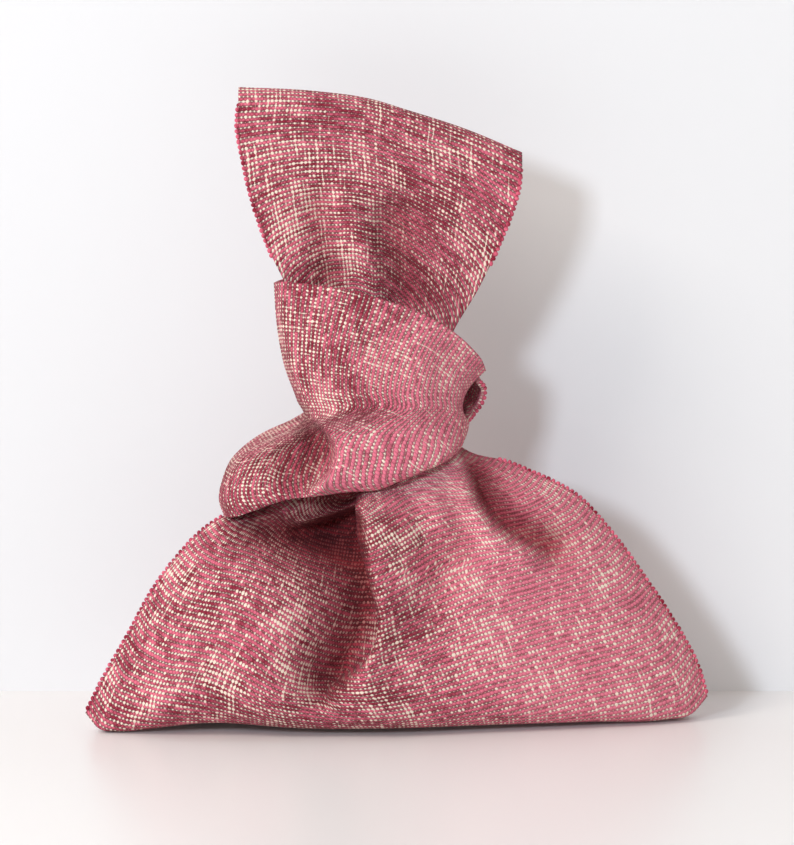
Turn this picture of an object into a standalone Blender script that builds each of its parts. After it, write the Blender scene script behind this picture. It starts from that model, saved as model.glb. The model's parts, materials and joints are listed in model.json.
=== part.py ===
"""A knot bag for a gift: a soft cloth pouch, its short handle wound round the neck as a broad band,
and its long handle standing up out of the band as a flat fan of two layers.

The bag stands on z = 0 with its front towards -Y. All tables are in millimetres.
"""

import math

import bmesh
import bpy
import numpy as np

MM = 0.001

# Driving dimensions
CLOTH = 1.6            # thickness of the heavy woven cloth
FOLD_GAP = 11.0        # outside depth of the long handle's folded top, both layers
WELD = 0.005           # points nearer than this are one point
SIDE_ROUNDNESS = 0.6   # power that rounds a sheet towards its sides: smaller is rounder
SIDE_CROWDING = 0.35   # how much closer together the columns stand at the sides
FOLDS_FADE = (0.08, 0.20)   # shares above the sole and below the mouth where folds run out
PULL_FADE = 0.15       # share at both ends where the column drawn to the deep fold lets go
LIP_SPREAD = 3         # power by which the far lip's opening fades across the band's back
LINE_PLACES = 41       # places along each fold's line that distances are measured from

# How finely each sheet is divided: columns run across it, rows run up it
POUCH_COLUMNS = 40
POUCH_ROWS = 16
SOLE_ROWS = 4
BAND_FRONT_COLUMNS = 24
BAND_BACK_COLUMNS = 16
BAND_ROWS = 16
FAN_COLUMNS = 18
FAN_ROWS = 15
FAN_TURN_ROWS = 4

# Every edge below is a row of places along it: share of the way, x, y, z.

# ---- Pouch ----
POUCH_LEFT = [                    # the left side, from the corner on the ground up to the mouth
    (0.00, -124.0, -27.0, 7.0),
    (0.12, -117.0, -25.0, 21.0),
    (0.27, -107.0, -19.0, 38.0),
    (0.42, -97.8, -13.0, 54.4),
    (0.55, -87.4, -8.0, 68.0),
    (0.70, -72.3, -4.0, 81.5),
    (0.82, -53.0, -2.0, 90.0),
    (0.91, -37.0, 0.0, 100.0),
    (1.00, -26.0, 0.0, 115.0),
]
POUCH_RIGHT = [                   # the right side, from the corner on the ground up to the mouth
    (0.00, 125.0, 1.0, 9.0),
    (0.12, 121.0, 3.0, 22.0),
    (0.27, 111.5, 3.0, 39.5),
    (0.42, 99.5, 3.0, 57.5),
    (0.55, 85.3, 3.0, 76.8),
    (0.66, 71.8, 2.0, 91.0),
    (0.78, 53.2, 0.0, 100.8),
    (0.88, 40.5, -2.0, 105.8),
    (0.94, 30.0, -3.0, 108.4),
    (1.00, 19.0, -1.0, 115.0),
]
SOLE_FRONT = [                    # where the front leaves the ground, left corner to right corner
    (0.00, -124.0, -27.0, 7.0),
    (0.03, -119.0, -31.0, 1.5),
    (0.07, -112.0, -33.0, 0.0),
    (0.20, -75.0, -35.0, 1.8),
    (0.35, -38.0, -36.0, 0.0),
    (0.50, 0.0, -35.0, 0.0),
    (0.65, 37.0, -27.0, 0.0),
    (0.80, 77.0, -18.0, 0.0),
    (0.92, 108.0, -10.0, 0.6),
    (0.97, 119.0, -5.0, 3.0),
    (1.00, 125.0, 1.0, 9.0),
]
SOLE_BACK = [                     # where the back leaves the ground, left corner to right corner
    (0.00, -124.0, -27.0, 7.0),
    (0.03, -119.0, -20.0, 1.5),
    (0.10, -105.0, -7.0, 0.0),
    (0.25, -70.0, 18.0, 0.0),
    (0.50, -2.0, 34.0, 0.0),
    (0.75, 66.0, 31.0, 0.0),
    (0.90, 104.0, 20.0, 0.0),
    (0.97, 119.0, 9.0, 2.5),
    (1.00, 125.0, 1.0, 9.0),
]
MOUTH_FRONT = [                   # the gathered mouth at the neck, left to right
    (0.00, -26.0, 0.0, 115.0),
    (0.10, -22.0, -8.0, 114.0),
    (0.30, -13.0, -12.0, 112.0),
    (0.50, -3.0, -13.0, 111.0),
    (0.70, 7.0, -12.0, 112.0),
    (0.90, 16.0, -8.0, 114.0),
    (1.00, 19.0, -1.0, 115.0),
]
MOUTH_BACK = [
    (0.00, -26.0, 0.0, 115.0),
    (0.10, -22.0, 7.0, 114.0),
    (0.30, -13.0, 11.0, 113.0),
    (0.50, -3.0, 12.0, 112.5),
    (0.70, 7.0, 11.0, 113.0),
    (0.90, 16.0, 6.0, 114.0),
    (1.00, 19.0, -1.0, 115.0),
]
POUCH_CROWN = [                   # share of the way up, fullness of the front, of the back
    (0.00, 0.0, 0.0),
    (0.06, 5.0, 5.0),
    (0.25, 10.0, 8.0),
    (0.45, 13.0, 10.0),
    (0.65, 11.0, 9.0),
    (0.85, 6.0, 5.0),
    (1.00, 0.0, 0.0),
]

# ---- Short handle, wound round the neck ----
BAND_LEFT = [                     # its left turn: the bulge, the nip at mid height, the folded end
    (0.00, -69.0, -9.0, 83.3),
    (0.08, -71.2, -5.0, 89.1),
    (0.20, -69.8, -2.0, 98.0),
    (0.32, -65.8, -3.0, 105.2),
    (0.42, -56.5, -6.0, 112.4),
    (0.50, -43.5, -9.0, 118.4),
    (0.54, -37.6, -10.0, 122.2),
    (0.62, -40.0, -7.0, 130.0),
    (0.76, -45.3, -4.0, 144.5),
    (0.90, -48.3, -1.0, 162.0),
    (1.00, -49.2, -0.5, 176.5),
]
BAND_RIGHT = [                    # its right turn, with the nearer lip of the rolled end
    (0.00, 24.0, -13.0, 109.5),
    (0.18, 26.5, -10.0, 113.0),
    (0.32, 27.7, -8.0, 117.5),
    (0.44, 28.0, -7.0, 121.5),
    (0.62, 26.2, -10.0, 127.5),
    (0.80, 28.2, -8.0, 134.0),
    (0.92, 31.5, -5.0, 137.8),
    (1.00, 35.6, -2.0, 141.3),
]
LIP_ROWS = (7, 15)                # rows between which the rolled end stands open
FAR_LIP = [                       # share of that opening, farther lip from the nearer: x, y, z
    (0.00, 0.0, 0.0, 0.0),
    (0.25, 4.5, 8.0, -1.5),
    (0.50, 7.0, 11.0, -3.0),
    (0.75, 6.8, 9.0, -2.8),
    (0.90, 4.5, 5.5, -1.8),
    (1.00, 0.0, 0.0, 0.0),
]
BAND_TOP_FRONT = [
    (0.00, -49.2, -0.5, 176.5),
    (0.05, -46.2, -7.5, 177.5),
    (0.14, -38.3, -12.0, 177.3),
    (0.27, -26.4, -16.0, 176.2),
    (0.42, -13.0, -18.5, 173.6),
    (0.56, -1.0, -19.0, 169.9),
    (0.68, 9.2, -18.0, 166.0),
    (0.82, 21.5, -15.0, 159.0),
    (0.91, 29.5, -11.0, 151.7),
    (0.96, 33.8, -7.5, 146.3),
    (1.00, 35.6, -2.0, 141.3),
]
BAND_TOP_BACK = [
    (0.00, -49.2, -0.5, 176.5),
    (0.06, -46.0, 8.0, 177.0),
    (0.25, -32.0, 13.0, 174.0),
    (0.50, -8.0, 16.0, 167.5),
    (0.75, 16.0, 14.5, 157.0),
    (0.93, 31.5, 8.0, 146.0),
    (1.00, 35.6, -2.0, 141.3),
]
BAND_BOTTOM_FRONT = [
    (0.00, -69.0, -9.0, 83.3),
    (0.06, -66.0, -16.0, 83.8),
    (0.16, -57.0, -21.0, 87.0),
    (0.27, -47.0, -25.5, 91.0),
    (0.40, -35.0, -28.5, 93.5),
    (0.53, -21.0, -30.0, 95.5),
    (0.66, -7.5, -30.0, 96.5),
    (0.76, 1.5, -29.0, 100.0),
    (0.86, 10.5, -26.5, 103.5),
    (0.95, 19.5, -20.5, 107.0),
    (1.00, 24.0, -13.0, 109.5),
]
BAND_BOTTOM_BACK = [
    (0.00, -69.0, -9.0, 83.3),
    (0.08, -69.0, 2.0, 85.5),
    (0.25, -55.0, 15.0, 91.0),
    (0.50, -22.0, 25.0, 100.0),
    (0.75, 9.0, 21.0, 110.0),
    (0.92, 24.5, 8.0, 115.5),
    (0.98, 26.5, -5.0, 113.5),
    (1.00, 24.0, -13.0, 109.5),
]
BAND_CROWN = [                    # share of the way up, fullness of the front, of the back
    (0.00, 0.0, 0.0),
    (0.12, 5.0, 2.0),
    (0.30, 6.0, 3.0),
    (0.60, 5.0, 2.0),
    (0.85, 2.0, 1.0),
    (1.00, 0.0, 0.0),
]

# ---- Long handle, spread as a fan ----
FAN_LEFT = [                      # from its foot inside the neck up to the top corner
    (0.00, -17.0, -5.0, 106.0),
    (0.18, -25.0, -5.0, 130.0),
    (0.34, -35.0, -4.0, 153.0),
    (0.46, -42.5, -3.5, 172.0),
    (0.60, -51.0, -4.5, 190.0),
    (0.72, -57.0, -5.0, 207.0),
    (0.86, -61.5, -5.0, 226.0),
    (0.94, -63.7, -5.0, 239.0),
    (1.00, -63.0, -5.0, 249.0),
]
FAN_RIGHT = [
    (0.00, 10.0, -5.0, 106.0),
    (0.18, 12.8, -5.0, 127.0),
    (0.34, 21.0, -4.0, 154.0),
    (0.50, 32.6, -4.0, 174.5),
    (0.66, 41.3, -4.5, 193.0),
    (0.82, 47.5, -5.0, 210.0),
    (1.00, 49.8, -5.0, 223.0),
]
FAN_FOOT = [
    (0.00, -17.0, -5.0, 106.0),
    (0.50, -3.5, -6.5, 106.0),
    (1.00, 10.0, -5.0, 106.0),
]
FAN_TOP = [                       # the turn of the cloth at the top, left corner to right corner
    (0.00, -63.0, -5.0, 249.0),
    (0.27, -33.0, -5.5, 247.5),
    (0.46, -11.0, -6.0, 244.5),
    (0.60, 4.0, -6.0, 240.0),
    (0.80, 27.0, -5.5, 232.5),
    (1.00, 49.8, -5.0, 223.0),
]
FAN_LAYERS = [                    # share of the way up, outside depth over both layers
    (0.00, 6.0),
    (0.40, 6.0),
    (0.60, 8.0),
    (0.80, FOLD_GAP),
    (1.00, FOLD_GAP),
]

# ---- Folds ----
FOLD_COLUMN = 0.475     # share of the way across where the pouch's deep fold is drawn in
# name, how far it stands out (+) or sinks in (-), its reach to the left and to the right of its line,
# and the line itself as (x, z) places from its upper end to its lower end
POUCH_FOLDS = [
    ("deep fold left of the middle", -14.5, 21.0, 5.0, [(-16, 92), (-15, 74), (-12, 50), (-21, 26)]),
    ("edge of the deep fold", 6.0, 4.0, 14.0, [(-7, 90), (-5, 68), (0, 46), (-8, 22)]),
    ("hollow in the shade of the band", -6.5, 12.0, 9.0, [(-64, 79), (-46, 76), (-30, 78)]),
    ("tucked pleat under the band", 7.0, 4.0, 4.0, [(-15, 91), (-27, 87), (-42, 85)]),
    ("soft valley on the right of it", -3.5, 9.0, 9.0, [(28, 86), (20, 66), (14, 50)]),
    ("valley below the right shoulder", -8.0, 5.0, 13.0, [(30, 101), (36, 90), (42, 80), (62, 69)]),
    ("crease of the right shoulder", 3.0, 6.0, 3.0, [(25, 101), (31, 88), (39, 77), (50, 71)]),
    ("ridge down from the left shoulder", 6.0, 9.0, 22.0, [(-70, 78), (-82, 58), (-90, 34), (-92, 16)]),
]
BAND_FOLDS = [
    ("hollow below the nip", -6.0, 7.0, 8.0, [(-30, 113), (-36, 108), (-45, 105)]),
    ("crease under the rolled edge", -2.5, 7.0, 3.0, [(-34, 116), (-46, 110), (-62, 102)]),
    ("roll above the crease", 3.0, 5.0, 5.0, [(-42, 117), (-52, 112), (-62, 105)]),
    ("ridge right of the hollow", 2.5, 4.0, 8.0, [(-30, 118), (-26, 111), (-31, 102)]),
]
FAN_FOLDS = [
    ("valley left of the middle", -4.0, 8.0, 8.0, [(-31, 206), (-28, 190), (-26, 176)]),
    ("middle ridge", 4.5, 8.0, 6.0, [(-19, 206), (-14, 190), (-10, 174)]),
    ("valley right of the middle", -5.0, 6.5, 11.0, [(-1, 202), (0, 190), (4, 173)]),
]

SKINS = {                         # node: base colour (linear), roughness
    "pouch": ((0.52, 0.13, 0.19), 0.85),
    "short_handle": ((0.60, 0.17, 0.24), 0.85),
    "long_handle": ((0.45, 0.11, 0.16), 0.85),
}


def at(table, places):
    """Values of a table at the given places: a smooth curve through its rows, one row per place."""
    rows = np.array(table, dtype=float)
    knots = rows[:, 0]
    values = rows[:, 1:]
    slopes = np.gradient(values, knots, axis=0)
    places = np.clip(np.asarray(places, dtype=float), knots[0], knots[-1])
    low = np.clip(np.searchsorted(knots, places, side="right") - 1, 0, len(knots) - 2)
    span = (knots[low + 1] - knots[low])[..., None]
    part = (places - knots[low])[..., None] / span
    start = 2 * part**3 - 3 * part**2 + 1
    end = 1 - start
    leave = (part**3 - 2 * part**2 + part) * span
    arrive = (part**3 - part**2) * span
    return start * values[low] + end * values[low + 1] + leave * slopes[low] + arrive * slopes[low + 1]


def patch(left, right, bottom, top, across, up):
    """A sheet stretched between its four edges, at shares of the way across and up."""
    side_l, side_r = at(left, up), at(right, up)
    low, high = at(bottom, across), at(top, across)
    a, u = across[..., None], up[..., None]
    corners = (
        (1 - a) * (1 - u) * at(bottom, 0.0)
        + a * (1 - u) * at(bottom, 1.0)
        + (1 - a) * u * at(top, 0.0)
        + a * u * at(top, 1.0)
    )
    return (1 - a) * side_l + a * side_r + (1 - u) * low + u * high - corners


def eased(share):
    """Spaces shares of the way closer together towards both sides, where the sheet turns."""
    return share - SIDE_CROWDING * np.sin(2 * math.pi * share) / (2 * math.pi)


def rounding(across):
    """How fully a sheet stands out at each share of the way across: round at both sides."""
    return np.sin(math.pi * np.clip(across, 0.0, 1.0)) ** SIDE_ROUNDNESS


def fold_depth(points, folds):
    """How far all folds together push each point out of the sheet."""
    total = np.zeros(len(points))
    for _, height, reach_left, reach_right, line in folds:
        shares = np.linspace(0.0, 1.0, len(line))
        route = at([(share, x, z) for share, (x, z) in zip(shares, line)], np.linspace(0.0, 1.0, LINE_PLACES))
        apart = points[:, None, [0, 2]] - route[None, :, :]
        distance = np.linalg.norm(apart, axis=2)
        nearest = distance.argmin(axis=1)
        heading = np.gradient(route, axis=0)[nearest]
        offset = apart[np.arange(len(points)), nearest]
        away = np.maximum(distance.min(axis=1), WELD)
        turned = heading[:, 1] * offset[:, 0] - heading[:, 0] * offset[:, 1]
        leftness = (1 + turned / (away * np.linalg.norm(heading, axis=1))) / 2
        reach = leftness * reach_left + (1 - leftness) * reach_right
        total += height * np.exp(-((away / reach) ** 2))
    return total


def add_sheet(mesh, columns, rows, place, flip=False):
    """Adds a grid whose points place(across, up) puts where they belong."""
    grid = bmesh.ops.create_grid(mesh, x_segments=columns, y_segments=rows, size=0.5)
    points = grid["verts"]
    across = np.array([point.co.x + 0.5 for point in points])
    up = np.array([point.co.y + 0.5 for point in points])
    for point, spot in zip(points, place(across, up)):
        point.co = spot * MM
    if flip:
        bmesh.ops.reverse_faces(mesh, faces=list({face for point in points for face in point.link_faces}))


def finish_sheet(name, mesh, collection):
    """Makes the sheets in mesh one cloth object of its real thickness."""
    bmesh.ops.remove_doubles(mesh, verts=mesh.verts, dist=WELD * MM)
    bmesh.ops.dissolve_degenerate(mesh, edges=mesh.edges, dist=WELD * MM)
    data = bpy.data.meshes.new(name)
    mesh.to_mesh(data)
    mesh.free()
    data.shade_smooth()
    piece = bpy.data.objects.new(name, data)
    collection.objects.link(piece)
    shell = piece.modifiers.new("cloth", "SOLIDIFY")
    shell.thickness = CLOTH * MM
    shell.offset = -1.0
    colour, roughness = SKINS[name]
    skin = bpy.data.materials.new(name)
    skin.use_nodes = True
    shader = skin.node_tree.nodes["Principled BSDF"]
    shader.inputs["Base Color"].default_value = (*colour, 1.0)
    shader.inputs["Roughness"].default_value = roughness
    data.materials.append(skin)
    return piece


def on_ground(spots):
    """Keeps every point at or above the ground that the bag stands on."""
    spots[:, 2] = np.maximum(spots[:, 2], 0.0)
    return spots


def drawn_to_fold(across, up):
    """Sideways pull that lays one column of the pouch's front along the bottom of its deep fold."""
    middle = np.full_like(across, FOLD_COLUMN)
    column = patch(POUCH_LEFT, POUCH_RIGHT, SOLE_FRONT, MOUTH_FRONT, middle, up)
    heights = np.array([z for _, z in POUCH_FOLDS[0][-1]][::-1], dtype=float)
    places = np.array([x for x, _ in POUCH_FOLDS[0][-1]][::-1], dtype=float)
    line = at(list(zip(heights, places)), np.clip(column[:, 2], heights[0], heights[-1]))[:, 0]
    pull = line - column[:, 0]
    near = np.clip(1 - np.abs(across - FOLD_COLUMN) / FOLD_COLUMN, 0.0, 1.0)
    ends = np.clip(np.minimum(up, 1 - up) / PULL_FADE, 0.0, 1.0)
    return pull * near * ends


def pouch_front(across, up):
    across = eased(across)
    spots = patch(POUCH_LEFT, POUCH_RIGHT, SOLE_FRONT, MOUTH_FRONT, across, up)
    spots[:, 0] += drawn_to_fold(across, up)
    fullness = rounding(across)
    spots[:, 1] -= at(POUCH_CROWN, up)[:, 0] * fullness
    low, high = FOLDS_FADE
    held = fullness * np.clip(np.minimum(up / low, (1 - up) / high), 0.0, 1.0)
    spots[:, 1] -= fold_depth(spots, POUCH_FOLDS) * held
    return on_ground(spots)


def pouch_back(across, up):
    across = eased(across)
    spots = patch(POUCH_LEFT, POUCH_RIGHT, SOLE_BACK, MOUTH_BACK, across, up)
    spots[:, 1] += at(POUCH_CROWN, up)[:, 1] * rounding(across)
    return on_ground(spots)


def pouch_sole(across, up):
    across = eased(across)
    share = up[:, None]
    spots = (1 - share) * at(SOLE_BACK, across) + share * at(SOLE_FRONT, across)
    return on_ground(spots)


def band_front(across, up):
    across = eased(across)
    spots = patch(BAND_LEFT, BAND_RIGHT, BAND_BOTTOM_FRONT, BAND_TOP_FRONT, across, up)
    fullness = rounding(across)
    spots[:, 1] -= at(BAND_CROWN, up)[:, 0] * fullness
    spots[:, 1] -= fold_depth(spots, BAND_FOLDS) * fullness
    return spots


def band_back(across, up):
    across = eased(across)
    spots = patch(BAND_LEFT, BAND_RIGHT, BAND_BOTTOM_BACK, BAND_TOP_BACK, across, up)
    low, high = LIP_ROWS
    opening = (up * BAND_ROWS - low) / (high - low)
    spots += at(FAR_LIP, opening) * across[:, None] ** LIP_SPREAD
    spots[:, 1] += at(BAND_CROWN, up)[:, 1] * rounding(across)
    return spots


def fan_strip(across, along):
    """The long handle from its front foot, over the turn at the top, down to its back foot."""
    turn = FAN_TURN_ROWS / (2 * FAN_ROWS + FAN_TURN_ROWS)
    run = (1 - turn) / 2
    up = np.clip(np.where(along < 0.5, along / run, (1 - along) / run), 0.0, 1.0)
    over = np.clip((along - run) / turn, 0.0, 1.0)
    spots = patch(FAN_LEFT, FAN_RIGHT, FAN_FOOT, FAN_TOP, across, up)
    spots[:, 1] -= fold_depth(spots, FAN_FOLDS) * rounding(across)
    layers = at(FAN_LAYERS, up)
    half = layers[:, 0] / 2
    spots[:, 1] += half * (1 - np.cos(math.pi * over))
    spots[:, 2] += half * np.sin(math.pi * over)
    return spots


def make_pouch(collection):
    mesh = bmesh.new()
    add_sheet(mesh, POUCH_COLUMNS, POUCH_ROWS, pouch_front)
    add_sheet(mesh, POUCH_COLUMNS, POUCH_ROWS, pouch_back, flip=True)
    add_sheet(mesh, POUCH_COLUMNS, SOLE_ROWS, pouch_sole)
    finish_sheet("pouch", mesh, collection)


def make_short_handle(collection):
    mesh = bmesh.new()
    add_sheet(mesh, BAND_FRONT_COLUMNS, BAND_ROWS, band_front)
    add_sheet(mesh, BAND_BACK_COLUMNS, BAND_ROWS, band_back, flip=True)
    finish_sheet("short_handle", mesh, collection)


def make_long_handle(collection):
    mesh = bmesh.new()
    add_sheet(mesh, FAN_COLUMNS, 2 * FAN_ROWS + FAN_TURN_ROWS, fan_strip)
    finish_sheet("long_handle", mesh, collection)


def main():
    for item in list(bpy.data.objects):
        bpy.data.objects.remove(item, do_unlink=True)
    collection = bpy.data.collections.new("knot_bag")
    bpy.context.scene.collection.children.link(collection)
    make_pouch(collection)
    make_short_handle(collection)
    make_long_handle(collection)


main()
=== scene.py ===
"""Looks of the knot bag: coarse two-colour cloth on the pouch, the band and the fan.

Each sheet follows the edges and folds that its solid has, with finer creases added. Lengths in the
tables are millimetres; everything in Blender is metres.
"""
import json
import math
from functools import partial

import bpy
import numpy as np
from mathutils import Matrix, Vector

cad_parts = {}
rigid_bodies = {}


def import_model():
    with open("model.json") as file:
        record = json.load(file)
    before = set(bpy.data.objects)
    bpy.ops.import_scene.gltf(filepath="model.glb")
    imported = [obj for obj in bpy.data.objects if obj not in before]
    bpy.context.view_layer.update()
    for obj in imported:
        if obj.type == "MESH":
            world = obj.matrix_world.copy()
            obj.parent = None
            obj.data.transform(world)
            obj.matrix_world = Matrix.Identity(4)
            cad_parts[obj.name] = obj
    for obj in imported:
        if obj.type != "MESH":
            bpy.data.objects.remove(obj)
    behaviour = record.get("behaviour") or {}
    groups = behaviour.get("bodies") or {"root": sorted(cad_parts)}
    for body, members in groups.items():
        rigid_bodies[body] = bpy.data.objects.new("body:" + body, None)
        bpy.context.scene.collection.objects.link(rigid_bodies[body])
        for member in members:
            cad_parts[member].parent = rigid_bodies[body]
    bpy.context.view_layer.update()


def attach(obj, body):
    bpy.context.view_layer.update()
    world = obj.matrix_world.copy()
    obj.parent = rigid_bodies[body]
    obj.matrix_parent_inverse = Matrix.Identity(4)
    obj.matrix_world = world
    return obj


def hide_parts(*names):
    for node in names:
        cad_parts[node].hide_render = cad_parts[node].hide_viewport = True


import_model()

MM = 0.001

# Cloth
CLOTH = 1.6            # thickness of the heavy woven cloth
FOLD_GAP = 11.0        # outside depth of the long handle's folded top, both layers
WELD = 0.005           # points nearer than this are one point
SIDE_ROUNDNESS = 0.6   # power that rounds a sheet towards its sides: smaller is rounder
SIDE_CROWDING = 0.35   # how much closer together the columns stand at the sides
FOLDS_FADE = (0.08, 0.20)   # shares above the sole and below the mouth where folds run out
PULL_FADE = 0.15       # share at both ends where the column drawn to the deep fold lets go
LIP_SPREAD = 3         # power by which the far lip's opening fades across the band's back
LIP_SHARES = (7 / 16, 15 / 16)   # shares of the band's height between which its end stands open
FAN_TURN = 0.118       # share of the long handle's grid that goes over the turn at the top
LINE_PLACES = 61       # places along each fold's line, or along a side, that are worked out
ROW_PITCH = 2.15       # from one thick yarn to the next
COLUMN_PITCH = 1.70    # from one thin warp thread to the next

# Every edge below is a row of places along it: share of the way, x, y, z.

# ---- Pouch ----
POUCH_LEFT = [                    # the left side, from the corner on the ground up to the mouth
    (0.00, -124.0, -27.0, 7.0),
    (0.12, -117.0, -25.0, 21.0),
    (0.27, -107.0, -19.0, 38.0),
    (0.42, -97.8, -13.0, 54.4),
    (0.55, -87.4, -8.0, 68.0),
    (0.70, -72.3, -4.0, 81.5),
    (0.82, -53.0, -2.0, 90.0),
    (0.91, -37.0, 0.0, 100.0),
    (1.00, -26.0, 0.0, 115.0),
]
POUCH_RIGHT = [                   # the right side, from the corner on the ground up to the mouth
    (0.00, 125.0, 1.0, 9.0),
    (0.12, 121.0, 3.0, 22.0),
    (0.27, 111.5, 3.0, 39.5),
    (0.42, 99.5, 3.0, 57.5),
    (0.55, 85.3, 3.0, 76.8),
    (0.66, 71.8, 2.0, 91.0),
    (0.78, 53.2, 0.0, 100.8),
    (0.88, 40.5, -2.0, 105.8),
    (0.94, 30.0, -3.0, 108.4),
    (1.00, 19.0, -1.0, 115.0),
]
SOLE_FRONT = [                    # where the front leaves the ground, left corner to right corner
    (0.00, -124.0, -27.0, 7.0),
    (0.03, -119.0, -31.0, 1.5),
    (0.07, -112.0, -33.0, 0.0),
    (0.20, -75.0, -35.0, 1.8),
    (0.35, -38.0, -36.0, 0.0),
    (0.50, 0.0, -35.0, 0.0),
    (0.65, 37.0, -27.0, 0.0),
    (0.80, 77.0, -18.0, 0.0),
    (0.92, 108.0, -10.0, 0.6),
    (0.97, 119.0, -5.0, 3.0),
    (1.00, 125.0, 1.0, 9.0),
]
SOLE_BACK = [                     # where the back leaves the ground, left corner to right corner
    (0.00, -124.0, -27.0, 7.0),
    (0.03, -119.0, -20.0, 1.5),
    (0.10, -105.0, -7.0, 0.0),
    (0.25, -70.0, 18.0, 0.0),
    (0.50, -2.0, 34.0, 0.0),
    (0.75, 66.0, 31.0, 0.0),
    (0.90, 104.0, 20.0, 0.0),
    (0.97, 119.0, 9.0, 2.5),
    (1.00, 125.0, 1.0, 9.0),
]
MOUTH_FRONT = [                   # the gathered mouth at the neck, left to right
    (0.00, -26.0, 0.0, 115.0),
    (0.10, -22.0, -8.0, 114.0),
    (0.30, -13.0, -12.0, 112.0),
    (0.50, -3.0, -13.0, 111.0),
    (0.70, 7.0, -12.0, 112.0),
    (0.90, 16.0, -8.0, 114.0),
    (1.00, 19.0, -1.0, 115.0),
]
MOUTH_BACK = [
    (0.00, -26.0, 0.0, 115.0),
    (0.10, -22.0, 7.0, 114.0),
    (0.30, -13.0, 11.0, 113.0),
    (0.50, -3.0, 12.0, 112.5),
    (0.70, 7.0, 11.0, 113.0),
    (0.90, 16.0, 6.0, 114.0),
    (1.00, 19.0, -1.0, 115.0),
]
POUCH_CROWN = [                   # share of the way up, fullness of the front, of the back
    (0.00, 0.0, 0.0),
    (0.06, 5.0, 5.0),
    (0.25, 10.0, 8.0),
    (0.45, 13.0, 10.0),
    (0.65, 11.0, 9.0),
    (0.85, 6.0, 5.0),
    (1.00, 0.0, 0.0),
]

# ---- Short handle, wound round the neck ----
BAND_LEFT = [                     # its left turn: the bulge, the nip at mid height, the folded end
    (0.00, -69.0, -9.0, 83.3),
    (0.08, -71.2, -5.0, 89.1),
    (0.20, -69.8, -2.0, 98.0),
    (0.32, -65.8, -3.0, 105.2),
    (0.42, -56.5, -6.0, 112.4),
    (0.50, -43.5, -9.0, 118.4),
    (0.54, -37.6, -10.0, 122.2),
    (0.62, -40.0, -7.0, 130.0),
    (0.76, -45.3, -4.0, 144.5),
    (0.90, -48.3, -1.0, 162.0),
    (1.00, -49.2, -0.5, 176.5),
]
BAND_RIGHT = [                    # its right turn, with the nearer lip of the rolled end
    (0.00, 24.0, -13.0, 109.5),
    (0.18, 26.5, -10.0, 113.0),
    (0.32, 27.7, -8.0, 117.5),
    (0.44, 28.0, -7.0, 121.5),
    (0.62, 26.2, -10.0, 127.5),
    (0.80, 28.2, -8.0, 134.0),
    (0.92, 31.5, -5.0, 137.8),
    (1.00, 35.6, -2.0, 141.3),
]
FAR_LIP = [                       # share of that opening, farther lip from the nearer: x, y, z
    (0.00, 0.0, 0.0, 0.0),
    (0.25, 4.5, 8.0, -1.5),
    (0.50, 7.0, 11.0, -3.0),
    (0.75, 6.8, 9.0, -2.8),
    (0.90, 4.5, 5.5, -1.8),
    (1.00, 0.0, 0.0, 0.0),
]
BAND_TOP_FRONT = [
    (0.00, -49.2, -0.5, 176.5),
    (0.05, -46.2, -7.5, 177.5),
    (0.14, -38.3, -12.0, 177.3),
    (0.27, -26.4, -16.0, 176.2),
    (0.42, -13.0, -18.5, 173.6),
    (0.56, -1.0, -19.0, 169.9),
    (0.68, 9.2, -18.0, 166.0),
    (0.82, 21.5, -15.0, 159.0),
    (0.91, 29.5, -11.0, 151.7),
    (0.96, 33.8, -7.5, 146.3),
    (1.00, 35.6, -2.0, 141.3),
]
BAND_TOP_BACK = [
    (0.00, -49.2, -0.5, 176.5),
    (0.06, -46.0, 8.0, 177.0),
    (0.25, -32.0, 13.0, 174.0),
    (0.50, -8.0, 16.0, 167.5),
    (0.75, 16.0, 14.5, 157.0),
    (0.93, 31.5, 8.0, 146.0),
    (1.00, 35.6, -2.0, 141.3),
]
BAND_BOTTOM_FRONT = [
    (0.00, -69.0, -9.0, 83.3),
    (0.06, -66.0, -16.0, 83.8),
    (0.16, -57.0, -21.0, 87.0),
    (0.27, -47.0, -25.5, 91.0),
    (0.40, -35.0, -28.5, 93.5),
    (0.53, -21.0, -30.0, 95.5),
    (0.66, -7.5, -30.0, 96.5),
    (0.76, 1.5, -29.0, 100.0),
    (0.86, 10.5, -26.5, 103.5),
    (0.95, 19.5, -20.5, 107.0),
    (1.00, 24.0, -13.0, 109.5),
]
BAND_BOTTOM_BACK = [
    (0.00, -69.0, -9.0, 83.3),
    (0.08, -69.0, 2.0, 85.5),
    (0.25, -55.0, 15.0, 91.0),
    (0.50, -22.0, 25.0, 100.0),
    (0.75, 9.0, 21.0, 110.0),
    (0.92, 24.5, 8.0, 115.5),
    (0.98, 26.5, -5.0, 113.5),
    (1.00, 24.0, -13.0, 109.5),
]
BAND_CROWN = [                    # share of the way up, fullness of the front, of the back
    (0.00, 0.0, 0.0),
    (0.12, 5.0, 2.0),
    (0.30, 6.0, 3.0),
    (0.60, 5.0, 2.0),
    (0.85, 2.0, 1.0),
    (1.00, 0.0, 0.0),
]

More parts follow.
